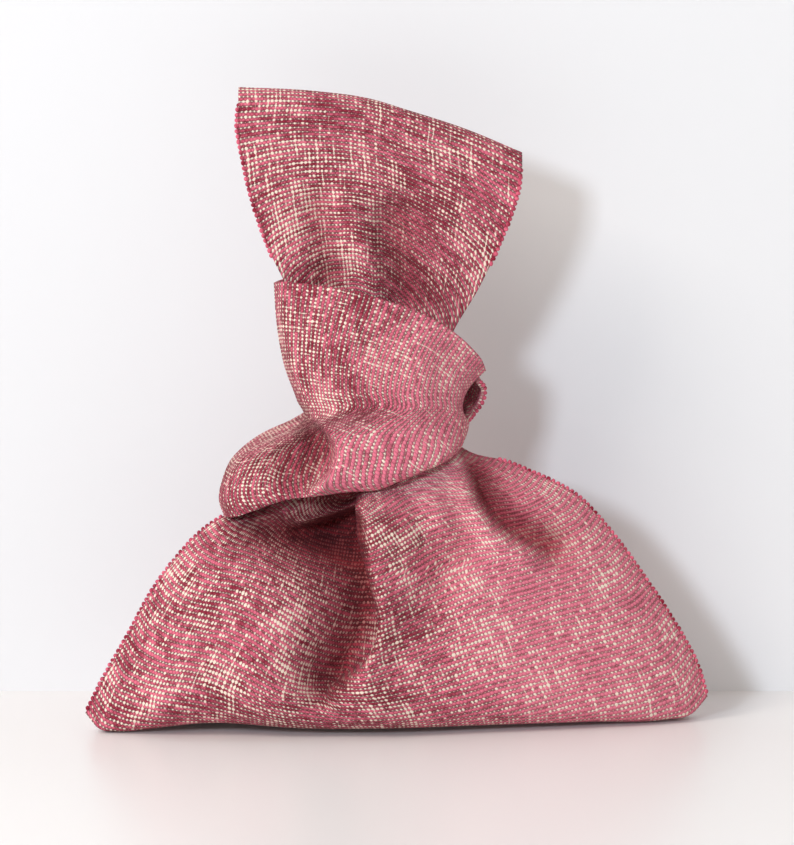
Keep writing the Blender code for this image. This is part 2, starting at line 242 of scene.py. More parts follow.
# ---- Long handle, spread as a fan ----
FAN_LEFT = [                      # from its foot inside the neck up to the top corner
    (0.00, -17.0, -5.0, 106.0),
    (0.18, -25.0, -5.0, 130.0),
    (0.34, -35.0, -4.0, 153.0),
    (0.46, -42.5, -3.5, 172.0),
    (0.60, -51.0, -4.5, 190.0),
    (0.72, -57.0, -5.0, 207.0),
    (0.86, -61.5, -5.0, 226.0),
    (0.94, -63.7, -5.0, 239.0),
    (1.00, -63.0, -5.0, 249.0),
]
FAN_RIGHT = [
    (0.00, 10.0, -5.0, 106.0),
    (0.18, 12.8, -5.0, 127.0),
    (0.34, 21.0, -4.0, 154.0),
    (0.50, 32.6, -4.0, 174.5),
    (0.66, 41.3, -4.5, 193.0),
    (0.82, 47.5, -5.0, 210.0),
    (1.00, 49.8, -5.0, 223.0),
]
FAN_FOOT = [
    (0.00, -17.0, -5.0, 106.0),
    (0.50, -3.5, -6.5, 106.0),
    (1.00, 10.0, -5.0, 106.0),
]
FAN_TOP = [                       # the turn of the cloth at the top, left corner to right corner
    (0.00, -63.0, -5.0, 249.0),
    (0.27, -33.0, -5.5, 247.5),
    (0.46, -11.0, -6.0, 244.5),
    (0.60, 4.0, -6.0, 240.0),
    (0.80, 27.0, -5.5, 232.5),
    (1.00, 49.8, -5.0, 223.0),
]
FAN_LAYERS = [                    # share of the way up, outside depth over both layers
    (0.00, 6.0),
    (0.40, 6.0),
    (0.60, 8.0),
    (0.80, FOLD_GAP),
    (1.00, FOLD_GAP),
]

# ---- Folds ----
FOLD_COLUMN = 0.475     # share of the way across where the pouch's deep fold is drawn in
# name, how far it stands out (+) or sinks in (-), its reach to the left and to the right of its line,
# and the line itself as (x, z) places from its upper end to its lower end
POUCH_FOLDS = [
    ("deep fold left of the middle", -14.5, 21.0, 5.0, [(-16, 92), (-15, 74), (-12, 50), (-21, 26)]),
    ("edge of the deep fold", 6.0, 4.0, 14.0, [(-7, 90), (-5, 68), (0, 46), (-8, 22)]),
    ("hollow in the shade of the band", -6.5, 12.0, 9.0, [(-64, 79), (-46, 76), (-30, 78)]),
    ("tucked pleat under the band", 7.0, 4.0, 4.0, [(-15, 91), (-27, 87), (-42, 85)]),
    ("soft valley on the right of it", -3.5, 9.0, 9.0, [(28, 86), (20, 66), (14, 50)]),
    ("valley below the right shoulder", -8.0, 5.0, 13.0, [(30, 101), (36, 90), (42, 80), (62, 69)]),
    ("crease of the right shoulder", 3.0, 6.0, 3.0, [(25, 101), (31, 88), (39, 77), (50, 71)]),
    ("ridge down from the left shoulder", 6.0, 9.0, 22.0, [(-70, 78), (-82, 58), (-90, 34), (-92, 16)]),
]
BAND_FOLDS = [
    ("hollow below the nip", -6.0, 7.0, 8.0, [(-30, 113), (-36, 108), (-45, 105)]),
    ("crease under the rolled edge", -2.5, 7.0, 3.0, [(-34, 116), (-46, 110), (-62, 102)]),
    ("roll above the crease", 3.0, 5.0, 5.0, [(-42, 117), (-52, 112), (-62, 105)]),
    ("ridge right of the hollow", 2.5, 4.0, 8.0, [(-30, 118), (-26, 111), (-31, 102)]),
]
FAN_FOLDS = [
    ("valley left of the middle", -4.0, 8.0, 8.0, [(-31, 206), (-28, 190), (-26, 176)]),
    ("middle ridge", 4.5, 8.0, 6.0, [(-19, 206), (-14, 190), (-10, 174)]),
    ("valley right of the middle", -5.0, 6.5, 11.0, [(-1, 202), (0, 190), (4, 173)]),
]

# Finer creases, too narrow for the plain solids: same columns as the folds above
POUCH_CREASES = [
    ("steep side of the deep fold", -8.0, 13.0, 2.5,
     [(-16, 92), (-16, 76), (-13, 66), (-8, 45), (-13, 30), (-25, 19)]),
    ("lip of the deep fold", 4.0, 2.0, 7.0, [(-12, 92), (-11, 76), (-8, 66), (-3, 45), (-8, 30), (-21, 19)]),
    ("full left half", 6.0, 18.0, 14.0, [(-54, 58), (-50, 42), (-46, 24)]),
    ("depth in the shade of the band", -16.0, 12.0, 13.0, [(-54, 80), (-42, 78), (-26, 77)]),
    ("edge of the tucked pleat", 8.5, 1.6, 6.0, [(-13, 90), (-24, 85), (-37, 82)]),
    ("hollow under the tucked pleat", -6.0, 3.0, 3.0, [(-15, 85), (-26, 80), (-39, 77)]),
    ("turn down the left side", 2.0, 5.0, 9.0, [(-71, 80), (-85, 65), (-89, 50), (-92, 32), (-97, 15)]),
    ("dent above the left corner", -2.0, 6.0, 9.0, [(-98, 12), (-84, 7), (-68, 8)]),
    ("soft valley right of the ridge", -2.5, 8.0, 8.0, [(24, 72), (14, 56), (4, 42), (0, 30)]),
    ("right shoulder's dark valley", -12.0, 2.5, 9.0, [(27, 107), (32, 98), (36, 89), (45, 79), (60, 71)]),
    ("crease that runs into it", 5.0, 5.0, 2.0, [(24, 107), (29, 98), (33, 88), (42, 77), (54, 69)]),
    ("pleat running out of the neck", -2.5, 3.0, 5.0, [(4, 96), (9, 84), (12, 72)]),
    ("pleat beside it", 2.0, 4.0, 4.0, [(12, 98), (17, 87), (22, 77)]),
]
# How far the lip of the deep fold leans to the left over the valley: same columns
POUCH_LEAN = [
    ("lip over the valley", 4.5, 1.6, 13.0, [(-12, 92), (-11, 76), (-8, 66), (-3, 45), (-8, 30), (-21, 19)]),
]
BAND_CREASES = [
    ("dark side of the nip", -6.0, 9.0, 1.6, [(-34, 123), (-28, 117), (-26, 110), (-29, 103), (-36, 97)]),
    ("lip of the panel over it", 2.5, 1.5, 8.0, [(-32, 123), (-26, 117), (-24, 110), (-27, 103), (-34, 97)]),
    ("line under the rolled edge", -1.4, 2.0, 1.5, [(-35, 117), (-46, 111), (-61, 103)]),
    ("soft dent in the middle", -1.6, 9.0, 9.0, [(-8, 160), (-4, 146), (-10, 130)]),
    ("dent beside the rolled end", -1.8, 7.0, 5.0, [(20, 148), (17, 136), (18, 124)]),
]
FAN_CREASES = [
    ("crease above the band", -1.6, 3.0, 3.0, [(-34, 182), (-26, 181), (-19, 182)]),
    ("sharp side of the middle ridge", -1.6, 2.0, 3.0, [(-7, 206), (-7, 192), (-4, 178)]),
]

# Lower edges
FOOT = [                # rounded foot of the pouch's front: share of the way up, how far it stands out
    (0.00, -9.0), (0.012, -1.0), (0.035, 3.2), (0.09, 5.6),
    (0.18, 4.4), (0.32, 1.0), (0.45, 0.0), (1.00, 0.0),
]
FOOT_FULL = [           # share of the way across, how full that foot is there
    (0.00, 0.0), (0.06, 0.1), (0.14, 0.6), (0.30, 1.0), (0.65, 1.0), (0.88, 0.5), (1.00, 0.0),
]
FRONT_LIFT = [          # share of the way across, how far the filled cloth lifts the front's lower edge
    (0.00, 0.0), (0.06, 0.4), (0.22, 1.4), (0.40, 0.8), (0.65, 0.8), (0.88, 0.6), (1.00, 0.0),
]
LIFT_FADE = 14          # power by which that lift dies out up the front
SOLE_EASE = 3           # power by which the sole comes to meet the front's lower edge
ROLL = 3.0              # how far the band's lower edge is rolled inwards
ROLL_SHARE = 0.07       # share of the band's height that the roll takes up

# Laying the weave, in millimetres of flat cloth
POUCH_HALF_WIDTH = 128.0
BAND_LENGTH = 108.0     # the band's visible front, measured round the neck
BAND_CLOSER = 1.12      # how much closer than elsewhere the warp threads lie on the tight band
BAND_LEAN = 0.09        # how far the band's rows swing to the left below its middle
BAND_SWING = (0.95, 0.45)   # shares of its height where that swing begins and where it is full
FAN_HALF_WIDTH = 58.0
FAN_DOME = 0.30         # how much tighter the rows lie in the fan's middle than at its sides
FAN_DOME_PLACE = 0.44   # share of the way across where the rows stand highest
FAN_DOME_POWER = 0.9    # rounds that dome: smaller is flatter on top
SIDE_CLIMB = 1.3        # power by which the pouch's rows climb towards its sides: 1 is a straight climb
EVENED = 16             # columns over which the rows' height is evened out
GATHER = 0.5            # 0 keeps the yarns' pitch where the sheet narrows, 1 squeezes it with the sheet

# Grids: columns across a sheet, and rows up it
POUCH_COLUMNS = 250
FRONT_ROWS, BACK_ROWS, SOLE_ROWS = 110, 56, 10
BAND_GRID = (130, 128)
FAN_GRID = (110, 220)
# Depth of fold at which the painted shade in the folds is darkest
POUCH_DEEPEST, BAND_DEEPEST, FAN_DEEPEST = 24.0, 14.0, 9.0

# Yarn ends along the sides
YARN_END = (0.9, 0.8, 0.95)      # half the width, depth and height of one loop
YARN_UNEVEN = (0.85, 1.15)       # smallest and largest share of that size that a loop has
YARN_SEED = 7                    # keeps the loops' sizes the same each time
POUCH_ENDS_TOP = (0.76, 0.90)    # shares up the left and right side where the band hides them
FAN_BARE = 0.25                  # share along the long handle where it comes out of the band


def at(table, places):
    """Values of a table at the given places: a smooth curve through its rows, one row per place."""
    rows = np.array(table, dtype=float)
    knots = rows[:, 0]
    values = rows[:, 1:]
    slopes = np.gradient(values, knots, axis=0)
    places = np.clip(np.asarray(places, dtype=float), knots[0], knots[-1])
    low = np.clip(np.searchsorted(knots, places, side="right") - 1, 0, len(knots) - 2)
    span = (knots[low + 1] - knots[low])[..., None]
    part = (places - knots[low])[..., None] / span
    start = 2 * part**3 - 3 * part**2 + 1
    end = 1 - start
    leave = (part**3 - 2 * part**2 + part) * span
    arrive = (part**3 - part**2) * span
    return start * values[low] + end * values[low + 1] + leave * slopes[low] + arrive * slopes[low + 1]


def patch(left, right, bottom, top, across, up):
    """A sheet stretched between its four edges, at shares of the way across and up."""
    side_l, side_r = at(left, up), at(right, up)
    low, high = at(bottom, across), at(top, across)
    a, u = across[..., None], up[..., None]
    corners = (
        (1 - a) * (1 - u) * at(bottom, 0.0)
        + a * (1 - u) * at(bottom, 1.0)
        + (1 - a) * u * at(top, 0.0)
        + a * u * at(top, 1.0)
    )
    return (1 - a) * side_l + a * side_r + (1 - u) * low + u * high - corners


def eased(share):
    """Spaces shares of the way closer together towards both sides, where the sheet turns."""
    return share - SIDE_CROWDING * np.sin(2 * math.pi * share) / (2 * math.pi)


def rounding(across):
    """How fully a sheet stands out at each share of the way across: round at both sides."""
    return np.sin(math.pi * np.clip(across, 0.0, 1.0)) ** SIDE_ROUNDNESS


def fold_depth(points, folds):
    """How far all folds together push each point out of the sheet."""
    total = np.zeros(len(points))
    for _, height, reach_left, reach_right, line in folds:
        shares = np.linspace(0.0, 1.0, len(line))
        route = at([(share, x, z) for share, (x, z) in zip(shares, line)], np.linspace(0.0, 1.0, LINE_PLACES))
        apart = points[:, None, [0, 2]] - route[None, :, :]
        distance = np.linalg.norm(apart, axis=2)
        nearest = distance.argmin(axis=1)
        heading = np.gradient(route, axis=0)[nearest]
        offset = apart[np.arange(len(points)), nearest]
        away = np.maximum(distance.min(axis=1), WELD)
        turned = heading[:, 1] * offset[:, 0] - heading[:, 0] * offset[:, 1]
        leftness = (1 + turned / (away * np.linalg.norm(heading, axis=1))) / 2
        reach = leftness * reach_left + (1 - leftness) * reach_right
        total += height * np.exp(-((away / reach) ** 2))
    return total


def on_ground(spots):
    """Keeps every point at or above the ground that the bag stands on."""
    spots[:, 2] = np.maximum(spots[:, 2], 0.0)
    return spots


def drawn_to_fold(across, up):
    """Sideways pull that lays one column of the pouch's front along the bottom of its deep fold."""
    middle = np.full_like(across, FOLD_COLUMN)
    column = patch(POUCH_LEFT, POUCH_RIGHT, SOLE_FRONT, MOUTH_FRONT, middle, up)
    heights = np.array([z for _, z in POUCH_FOLDS[0][-1]][::-1], dtype=float)
    places = np.array([x for x, _ in POUCH_FOLDS[0][-1]][::-1], dtype=float)
    line = at(list(zip(heights, places)), np.clip(column[:, 2], heights[0], heights[-1]))[:, 0]
    pull = line - column[:, 0]
    near = np.clip(1 - np.abs(across - FOLD_COLUMN) / FOLD_COLUMN, 0.0, 1.0)
    ends = np.clip(np.minimum(up, 1 - up) / PULL_FADE, 0.0, 1.0)
    return pull * near * ends


# ---- Where each sheet's points lie, at shares of the way across and up ----
def pouch_front(across, up):
    """The pouch's front: full, folded and rounded at its foot."""
    across = eased(across)
    spots = patch(POUCH_LEFT, POUCH_RIGHT, SOLE_FRONT, MOUTH_FRONT, across, up)
    spots[:, 0] += drawn_to_fold(across, up)
    fullness = rounding(across)
    spots[:, 1] -= at(POUCH_CROWN, up)[:, 0] * fullness
    low, high = FOLDS_FADE
    held = fullness * np.clip(np.minimum(up / low, (1 - up) / high), 0.0, 1.0)
    out = fold_depth(spots, POUCH_FOLDS + POUCH_CREASES) * held
    spots[:, 0] -= fold_depth(spots, POUCH_LEAN) * held
    spots[:, 1] -= out
    spots[:, 1] -= at(FOOT, up)[:, 0] * at(FOOT_FULL, across)[:, 0]
    spots[:, 2] += at(FRONT_LIFT, across)[:, 0] * (1 - up) ** LIFT_FADE
    return on_ground(spots)


def pouch_back(across, up):
    """The pouch's back: gently full, with no folds."""
    across = eased(across)
    spots = patch(POUCH_LEFT, POUCH_RIGHT, SOLE_BACK, MOUTH_BACK, across, up)
    spots[:, 1] += at(POUCH_CROWN, up)[:, 1] * rounding(across)
    return on_ground(spots)


def pouch_sole(across, up):
    """The flat sole, from the back's lower edge to the front's."""
    across = eased(across)
    share = up[:, None]
    spots = (1 - share) * at(SOLE_BACK, across) + share * at(SOLE_FRONT, across)
    spots[:, 1] -= FOOT[0][1] * at(FOOT_FULL, across)[:, 0] * up**SOLE_EASE
    spots[:, 2] += at(FRONT_LIFT, across)[:, 0] * up**SOLE_EASE
    return on_ground(spots)


def band_front(across, up):
    """The band's front, with its lower edge rolled in."""
    across = eased(across)
    spots = patch(BAND_LEFT, BAND_RIGHT, BAND_BOTTOM_FRONT, BAND_TOP_FRONT, across, up)
    fullness = rounding(across)
    spots[:, 1] -= at(BAND_CROWN, up)[:, 0] * fullness
    spots[:, 1] -= fold_depth(spots, BAND_FOLDS + BAND_CREASES) * fullness
    spots[:, 1] += ROLL * fullness * np.clip(1 - up / ROLL_SHARE, 0.0, 1.0) ** 2
    return spots


def band_back(across, up):
    """The band's back, which stands off the front's edge where the end is open."""
    across = eased(across)
    spots = patch(BAND_LEFT, BAND_RIGHT, BAND_BOTTOM_BACK, BAND_TOP_BACK, across, up)
    low, high = LIP_SHARES
    opening = (up - low) / (high - low)
    spots += at(FAR_LIP, opening) * across[:, None] ** LIP_SPREAD
    spots[:, 1] += at(BAND_CROWN, up)[:, 1] * rounding(across)
    return spots


def fan_strip(across, along):
    """The long handle from its front foot, over the turn at the top, down to its back foot."""
    run = (1 - FAN_TURN) / 2
    up = np.clip(np.where(along < 0.5, along / run, (1 - along) / run), 0.0, 1.0)
    over = np.clip((along - run) / FAN_TURN, 0.0, 1.0)
    spots = patch(FAN_LEFT, FAN_RIGHT, FAN_FOOT, FAN_TOP, across, up)
    spots[:, 1] -= fold_depth(spots, FAN_FOLDS + FAN_CREASES) * rounding(across)
    layers = at(FAN_LAYERS, up)
    half = layers[:, 0] / 2
    spots[:, 1] += half * (1 - np.cos(math.pi * over))
    spots[:, 2] += half * np.sin(math.pi * over)
    return spots


# ---- Laying the weave on each sheet: where a point lies in the flat cloth, in millimetres ----
# Each takes the grid of points and their shares across, and answers for the faces on both sides of
# the sheet's own seam.
def lengths(spots, axis):
    """Length along the grid from its first line to each point, along the given axis."""
    steps = np.linalg.norm(np.diff(spots, axis=axis), axis=2)
    start = np.zeros_like(np.take(spots[..., 0], [0], axis=axis))
    return np.concatenate([start, np.cumsum(steps, axis=axis)], axis=axis)


def evened(values, reach):
    """The same values with each row smoothed over reach columns, so that they cross folds evenly."""
    steps = np.arange(-3 * reach, 3 * reach + 1)
    shares = np.exp(-0.5 * (steps / reach) ** 2)
    padded = np.pad(values, ((0, 0), (3 * reach, 3 * reach)), mode="reflect", reflect_type="odd")
    return np.stack([np.convolve(row, shares / shares.sum(), mode="valid") for row in padded])


def pouch_weave(spots, share):
    """Rows climb from the middle to both sides, and cross the sides squarely.

    The middle is counted up its columns from the seam under the sole, and each side along its own
    edge from the corner. Columns run up the sheet and close in on the neck.
    """
    corner_l, corner_r = spots[0, 0], spots[0, -1]
    part = (spots[0, :, 0] - corner_l[0]) / (corner_r[0] - corner_l[0])
    seam = corner_l[1] + part * (corner_r[1] - corner_l[1])
    rise = evened(np.abs(spots[0, :, 1] - seam)[None, :] + lengths(spots, 0), EVENED)
    side = np.abs(share - FOLD_COLUMN) / np.where(share < FOLD_COLUMN, FOLD_COLUMN, 1 - FOLD_COLUMN)
    edge = np.where(share < FOLD_COLUMN, rise[:, :1], rise[:, -1:])
    weight = side**SIDE_CLIMB
    up_cloth = (1 - weight) * rise + weight * edge
    run = lengths(spots, 1)
    squeezed = run[:1] / run[0, -1] * 2 * POUCH_HALF_WIDTH - POUCH_HALF_WIDTH
    from_left = run - POUCH_HALF_WIDTH
    from_right = POUCH_HALF_WIDTH - (run[:, -1:] - run)
    left = GATHER * squeezed + (1 - GATHER) * from_left
    right = GATHER * squeezed + (1 - GATHER) * from_right
    return np.stack([left, up_cloth], axis=2), np.stack([right, up_cloth], axis=2)


def sole_weave(spots, share):
    """Rows and columns run straight under the sole."""
    run = lengths(spots, 1) - POUCH_HALF_WIDTH
    back = lengths(spots, 0)
    flat = np.stack([run, back], axis=2)
    return flat, flat


def band_weave(spots, share):
    """Rows cross the band from edge to edge; below its middle they swing out into the bulge."""
    run = lengths(spots, 1)
    from_right = 1 - run / run[:, -1:]
    up = np.linspace(0.0, 1.0, len(spots))[:, None]
    begins, full = BAND_SWING
    low = np.clip((begins - up) / (begins - full), 0.0, 1.0)
    swing = BAND_LEAN * np.sin(math.pi * from_right) * low**2 * (3 - 2 * low)
    down = lengths(spots[::-1], 0)[::-1]
    flat = np.stack([down * BAND_CLOSER, BAND_LENGTH * (from_right - swing)], axis=2)
    return flat, flat


def fan_weave(spots, share):
    """Rows cross the handle and rise in its middle; they are counted from the turn at the top."""
    along = lengths(spots, 0)
    middle = along[along.shape[0] // 2]
    run = lengths(spots, 1)
    squeeze = (run[run.shape[0] // 2, -1] / run[:, -1:]) ** (GATHER - 1)
    width = (share - 0.5) * 2 * FAN_HALF_WIDTH * squeeze
    near = np.where(share < FAN_DOME_PLACE, share / FAN_DOME_PLACE, (1 - share) / (1 - FAN_DOME_PLACE))
    dome = np.sin(math.pi / 2 * near) ** FAN_DOME_POWER
    flat = np.stack([width, (along - middle) * (1 + FAN_DOME * dome)], axis=2)
    return flat, flat


# ---- Making the sheets ----
def deselect():
    """Leaves nothing selected."""
    for item in bpy.data.objects:
        item.select_set(False)


def add_grid(name, size, place, weave, flip=False, seam_at=1.0, folds=(), deepest=1.0):
    """A fine grid laid where place(across, up) says, with its flat-cloth places as its UV map.

    Faces beyond the share seam_at take the weave's second answer. The attribute "hollow" says how
    deep each point lies in the folds, where the cloth's colour is darkened as painted shade.
    """
    columns, rows = size
    deselect()
    bpy.ops.mesh.primitive_grid_add(x_subdivisions=columns, y_subdivisions=rows, size=1.0)
    grid = bpy.context.object
    grid.name = name
    data = grid.data
    flat = np.empty(len(data.vertices) * 3)
    data.vertices.foreach_get("co", flat)
    flat = flat.reshape(-1, 3)
    across, up = flat[:, 0] + 0.5, flat[:, 1] + 0.5
    column = np.rint(across * columns).astype(int)
    row = np.rint(up * rows).astype(int)
    spots = place(across, up)
    table = np.empty((rows + 1, columns + 1, 3))
    table[row, column] = spots
    share = np.empty((rows + 1, columns + 1))
    share[row, column] = across
    left, right = weave(table, share)
    data.vertices.foreach_set("co", (spots * MM).ravel())
    hollow = data.attributes.new("hollow", "FLOAT", "POINT")
    hollow.data.foreach_set("value", np.clip(-fold_depth(spots, folds) / deepest, 0.0, 1.0))
    corners = np.empty(len(data.loops), dtype=int)
    data.loops.foreach_get("vertex_index", corners)
    faces = np.repeat(np.arange(len(data.polygons)), 4)
    middle = np.zeros(len(data.polygons))
    np.add.at(middle, faces, eased(across[corners]) / 4)
    beyond = middle[faces] > seam_at
    spot = row[corners], column[corners]
    picked = np.where(beyond[:, None], right[spot], left[spot])
    while data.uv_layers:
        data.uv_layers.remove(data.uv_layers[0])
    chart = data.uv_layers.new(name="cloth")
    chart.data.foreach_set("uv", (picked * MM).ravel())
    if flip:
        bpy.ops.object.mode_set(mode="EDIT")
        bpy.ops.mesh.select_all(action="SELECT")
        bpy.ops.mesh.flip_normals()
        bpy.ops.object.mode_set(mode="OBJECT")
    return grid


def joined(name, items, material):
    """Joins objects into one piece of one material."""
    deselect()
    for item in items:
        item.select_set(True)
    bpy.context.view_layer.objects.active = items[0]
    if len(items) > 1:
        bpy.ops.object.join()
    piece = bpy.context.object
    piece.name = name
    piece.data.name = name
    piece.data.materials.clear()
    piece.data.materials.append(material)
    return piece


def sewn(name, grids, material):
    """Joins grids into one sheet of the cloth's real thickness."""
    piece = joined(name, grids, material)
    bpy.ops.object.mode_set(mode="EDIT")
    bpy.ops.mesh.select_all(action="SELECT")
    bpy.ops.mesh.remove_doubles(threshold=WELD * MM)
    bpy.ops.object.mode_set(mode="OBJECT")
    shell = piece.modifiers.new("cloth", "SOLIDIFY")
    shell.thickness = CLOTH * MM
    shell.offset = -1.0
    bpy.ops.object.modifier_apply(modifier="cloth")
    bpy.ops.object.shade_smooth()
    return piece


# ---- Colours and nodes ----
ALL_THREE = slice(3)                            # every output of a node that splits a value in three
SMOOTH = {"interpolation_type": "SMOOTHSTEP"}   # rises smoothly from 0 at the first place to 1 at the second
TWO_COLOURS = {"data_type": "RGBA", "out": 2}   # a blend: input 0 is the share of 7, the rest is 6


def linear(code):
    """An sRGB hex colour as Blender's linear colour."""
    parts = [int(code[i : i + 2], 16) / 255 for i in (1, 3, 5)]
    return tuple(p / 12.92 if p <= 0.04045 else ((p + 0.055) / 1.055) ** 2.4 for p in parts) + (1.0,)


def add_node(tree, kind, inputs=(), out=0, **settings):
    """Adds a shader node with its settings and returns the outputs asked for.

    Inputs are given in order, or by number or name, each as a value or as another node's output.
    """
    node = tree.nodes.new("ShaderNode" + kind)
    for key, setting in settings.items():
        setattr(node, key, setting)
    pairs = inputs.items() if isinstance(inputs, dict) else enumerate(inputs)
    for key, value in pairs:
        if isinstance(value, bpy.types.NodeSocket):
            tree.links.new(value, node.inputs[key])
        else:
            node.inputs[key].default_value = value
    return node.outputs[out]


def new_material(name, finish):
    """A material with constant values on its shader's sockets; also its node tree and its shader."""
    skin = bpy.data.materials.new(name)
    skin.use_nodes = True
    shader = skin.node_tree.nodes["Principled BSDF"]
    for socket, value in finish.items():
        shader.inputs[socket].default_value = value
    return skin, skin.node_tree, shader


# ---- Chenille cloth ----
CRIMSON = "#850E2B"      # chenille where its pile is short and turned away
ROSE = "#D9647B"         # chenille where its pile stands up
BLUSH = "#E89AA8"        # lint on the chenille
PAINTED_GROOVE_SHADE = "#4A0519"       # painted shade deep between two rows
GROUND = "#7A3538"       # thin ground cloth, seen where cream threads lie close together
CREAM = "#F0DFCB"        # cotton thread
CREAM_SHADE = "#B87C78"  # cotton thread half hidden by pile
PAINTED_FOLD_SHADE = "#9C4A50"      # painted shade in deep folds: the share of each colour that is left at the bottom of a fold
# Chenille yarn has a short cut pile of cotton and viscose: it scatters light with no sharp highlight,
# and the tips of the pile glow a little where the cloth turns away
PILE_FINISH = {
    "Roughness": 0.85,
    "Specular IOR Level": 0.38,
    "Sheen Weight": 0.07,
    "Sheen Roughness": 0.4,
    "Sheen Tint": linear("#F07F9C"),
}

# Sizes of cloudy unevenness in millimetres, along and across a row. Single fibres are too fine to
# show, so the pile is drawn as tufts half a millimetre wide.
DRIFT = (24.0, 10.0)     # threads drifting slowly from their straight lines
QUIVER = (1.5, 1.2)      # each yarn's own unevenness
PATCHES = (30.0, 20.0)   # patches rich or poor in cream
PILE = (0.55, 0.42)      # tufts of pile
PILE_DETAIL = 2.0        # octaves of finer unevenness in them; the other clouds have one
PAINTED_SHEEN_EDGE = 40.0         # how far the edge of the painted sheen wanders

# How far threads wander, in spacings from one to the next: by drift, by quiver
COLUMN_WANDER = (0.9, 0.35)
ROW_WANDER = (0.8, 0.30)
# Tones of a groove, of a row and of a warp thread
TONE_CHANGE = (0.10, 0.12, 0.11)   # how fast each changes along its thread, per spacing
TONE_APART = (0.0, 23.0, 7.0)      # places that keep the three apart
TONE_SCALE = 1.37                  # how fast all change from thread to thread
TONE_DETAIL = 1.5                  # finer and finer changes that are added to them, in octaves
CHANCE_APART, LUMP_APART = 3.0, 11.0   # the same for the chances at crossings and the lumps in rows

# Every tone, patch and chance runs from 0 to 1. Weights say how much each of them adds, in the order
# given. A span's first value counts as 0 and its second as 1. Edges and radii are in spacings.
RICH = (0.65, 0.55, 0.75, 0.42, -0.06)   # cream by groove, warp thread, patch, chance, painted sheen
PEARL_FLAT = 1.4                 # counts distance across the groove for more, so that pearls lie flat
PEARL_GROWS = (0.95, 1.60)       # richness over which pearls grow
PEARL_LEAST = 0.165              # radius of a pearl nearly hidden by pile
PEARL_GROWTH = 0.27              # what a full pearl has beyond that
PEARL_EDGE = (0.07, -0.05)       # soft edge of a pearl
RUN = (1.0, 0.6, 0.10)           # cream that runs on along a groove, by groove, patch, chance
RUN_SPAN = (0.94, 1.12)
RUN_SHOWS = (0.7, 0.3)           # how clearly it shows where it runs on, and anywhere
RUN_EDGE = (0.16, 0.05)          # soft edge of such a thread
OVER = (1.0, 0.5, 0.22)          # cream that crosses over a row, by warp thread, patch, chance
OVER_SPAN = (0.95, 1.12)
OVER_EDGE = (0.17, 0.06)
LINK = 0.75                      # how clearly cream between pearls shows, and how high it lies
GROOVE_EDGE = (0.29, 0.10)       # soft edge of the groove between two rows
NOTCH_EDGE = (0.25, 0.05)        # and of the notch where a warp thread binds a row
YARN = (1.0, 0.6, 0.35, 0.22, 0.40)      # rose by row, patch, pile, lump, painted sheen
YARN_SPAN = (0.86, 1.34)
LINT = (0.35, 0.22)              # blush by tufts of pile, painted sheen
LINT_SPAN = (0.52, 0.72)
GROOVE_SHADE_BY = (1.05, 0.40)             # painted shade by groove, notch
SHEEN_LIGHTENS_SHADE = -0.35                   # how much of that shade the painted sheen takes away
LUMPS = (0.5, 0.75)              # its unevenness: by lump, and everywhere
GROUND_SPAN = (1.25, 1.5)        # richness over which the ground cloth shows in the grooves
TINT = (0.8, 0.3)                # cleanness of the cream, by richness, chance
TINT_SPAN = (0.75, 1.15)
ROW_RISE = (0.05, 0.40)          # how a row rises out of its groove
ROW_HEIGHT = 0.62                # its height as a share of the relief
PEARL_RISE = (0.08, -0.20)       # how a pearl rises
PEARL_HEIGHT = 0.66
HEIGHT = (1.0, 0.22, -0.20)      # relief by rows and pearls, pile, notch
RELIEF = 0.6                     # depth of the whole relief in millimetres


def clouds(tree, place, size, detail=1.0):
    """Three cloudy values over the cloth, of a size in millimetres along and across a row."""
    along, across = size
    per_metre = (1 / (along * MM), 1 / (across * MM), 1.0)
    scaled = add_node(tree, "VectorMath", (place, per_metre), operation="MULTIPLY")
    mixed = add_node(tree, "TexNoise", {"Vector": scaled, "Scale": 1.0, "Detail": detail}, out=1)
    return add_node(tree, "SeparateColor", (mixed,), out=ALL_THREE)


def thread_tone(tree, x, y, apart):
    """A tone that belongs to one thread, where x or y is its number, and changes slowly along it."""
    place = add_node(tree, "CombineXYZ", (x, y, apart))
    return add_node(tree, "TexNoise", {"Vector": place, "Scale": TONE_SCALE, "Detail": TONE_DETAIL})


def chances(tree, column, line, apart):
    """Three values by chance, the same all over one crossing of two threads."""
    crossing = add_node(tree, "CombineXYZ", (column, line, apart))
    mixed = add_node(tree, "TexWhiteNoise", {"Vector": crossing}, out=1, noise_dimensions="3D")
    return add_node(tree, "SeparateColor", (mixed,), out=ALL_THREE)


def weighed(tree, weights, values):
    """Sum of the values by their weights."""
    total = 0.0
    for weight, value in zip(weights, values):
        total = add_node(tree, "Math", (value, weight, total), operation="MULTIPLY_ADD")
    return total


